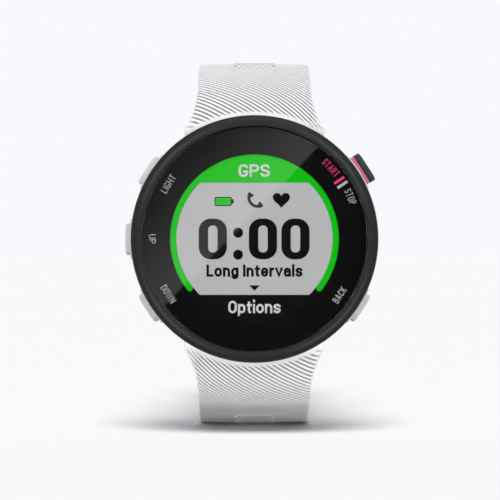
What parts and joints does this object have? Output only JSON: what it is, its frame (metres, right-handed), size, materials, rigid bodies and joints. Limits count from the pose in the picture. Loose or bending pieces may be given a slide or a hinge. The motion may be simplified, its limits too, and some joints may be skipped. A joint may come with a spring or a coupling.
{
  "type": "gps running watch",
  "caption": "Round sports watch with side push-buttons, glass over a colour display, optical sensor back and a two-piece rubber strap with buckle and keepers.",
  "frame": {"origin": "centre of the bounding box's base; the strap's lowest line rests on Z = 0", "axes": "the display faces -Y, 12 o'clock is +Z and 3 o'clock is +X"},
  "size_m": [0.0406, 0.0646, 0.0617],
  "materials": {
    "white_shell": "matt white fibre-reinforced polymer",
    "black_bezel": "satin black polymer",
    "lens_glass": "clear chemically hardened glass",
    "black_trim": "black print and film",
    "display": "transflective display",
    "light_guide": "diffusing light guide",
    "dark_frame": "moulded dark polymer",
    "circuit_board": "solder-masked board",
    "shield_metal": "stamped shield",
    "antenna": "ceramic patch",
    "battery_pouch": "laminated pouch",
    "seal_rubber": "black seal",
    "steel": "brushed stainless steel",
    "sensor_window": "dark optical window",
    "emitter": "light source",
    "gold_contact": "gold-plated contact",
    "white_button": "matt white cap",
    "black_button": "satin black cap",
    "pink_collar": "pink collar",
    "white_strap": "white silicone rubber"
  },
  "bodies": {
    "case": {"case_body": "white_shell", "bezel": "black_bezel", "lens": "lens_glass", "lens_adhesive": "black_trim", "dial_mask": "black_trim", "display_panel": "display", "backlight": "light_guide", "display_frame": "dark_frame", "main_board": "circuit_board", "shield_cans": "shield_metal", "gps_antenna": "antenna", "battery": "battery_pouch", "vibration_motor": "shield_metal", "button_switches": "dark_frame", "button_o_rings": "seal_rubber", "rear_cover": "white_shell", "rear_gasket": "seal_rubber", "cover_screws": "steel", "sensor_window": "sensor_window", "sensor_board": "circuit_board", "sensor_emitters": "emitter", "charging_contacts": "gold_contact", "upper_strap_pin": "steel", "lower_strap_pin": "steel"},
    "light_button": {"light_button": "white_button", "light_button_clip": "steel"},
    "up_button": {"up_button": "white_button", "up_button_clip": "steel"},
    "down_button": {"down_button": "white_button", "down_button_clip": "steel"},
    "back_button": {"back_button": "white_button", "back_button_clip": "steel"},
    "start_stop_button": {"start_stop_button": "black_button", "start_stop_collar": "pink_collar", "start_stop_clip": "steel"},
    "upper_strap": {"upper_strap": "white_strap", "fixed_keeper": "white_strap"},
    "lower_strap": {"lower_strap": "white_strap"},
    "loose_keeper": {"loose_keeper": "white_strap"},
    "buckle": {"buckle_frame": "steel", "buckle_bar": "steel"},
    "tongue": {"buckle_tongue": "steel"}
  },
  "joints": [
    {"name": "light_press", "type": "slide", "parent": "case", "child": "light_button", "axis": [0.8387, 0, -0.5446], "range_m": [0, 0.0005], "stiffness_N_per_m": 2000, "springref_m": -0.0003},
    {"name": "up_press", "type": "slide", "parent": "case", "child": "up_button", "axis": [1, 0, 0], "range_m": [0, 0.0005], "stiffness_N_per_m": 2000, "springref_m": -0.0003},
    {"name": "down_press", "type": "slide", "parent": "case", "child": "down_button", "axis": [0.8387, 0, 0.5446], "range_m": [0, 0.0005], "stiffness_N_per_m": 2000, "springref_m": -0.0003},
    {"name": "back_press", "type": "slide", "parent": "case", "child": "back_button", "axis": [-0.8387, 0, 0.5446], "range_m": [0, 0.0005], "stiffness_N_per_m": 2000, "springref_m": -0.0003},
    {"name": "start_stop_press", "type": "slide", "parent": "case", "child": "start_stop_button", "axis": [-0.8387, 0, -0.5446], "range_m": [0, 0.0005], "stiffness_N_per_m": 2000, "springref_m": -0.0003},
    {"name": "upper_strap_swing", "type": "hinge", "parent": "case", "child": "upper_strap", "pos_m": [0.0006, -0.02492, 0.04915], "axis": [1, 0, 0], "range_deg": [-12, 12]},
    {"name": "lower_strap_swing", "type": "hinge", "parent": "case", "child": "lower_strap", "pos_m": [0.0006, -0.02492, 0.01405], "axis": [-1, 0, 0], "range_deg": [-3, 25]},
    {"name": "loose_keeper_slide", "type": "slide", "parent": "upper_strap", "child": "loose_keeper", "axis": [0, 0.1736, -0.9848], "range_m": [-0.0036, 0.002]},
    {"name": "buckle_swing", "type": "hinge", "parent": "upper_strap", "child": "buckle", "pos_m": [0.0006, 0.01417, 0.02613], "axis": [1, 0, 0], "range_deg": [-30, 20]},
    {"name": "tongue_swing", "type": "hinge", "parent": "buckle", "child": "tongue", "pos_m": [0.0006, 0.01417, 0.02613], "axis": [1, 0, 0], "range_deg": [0, 75]}
  ]
}
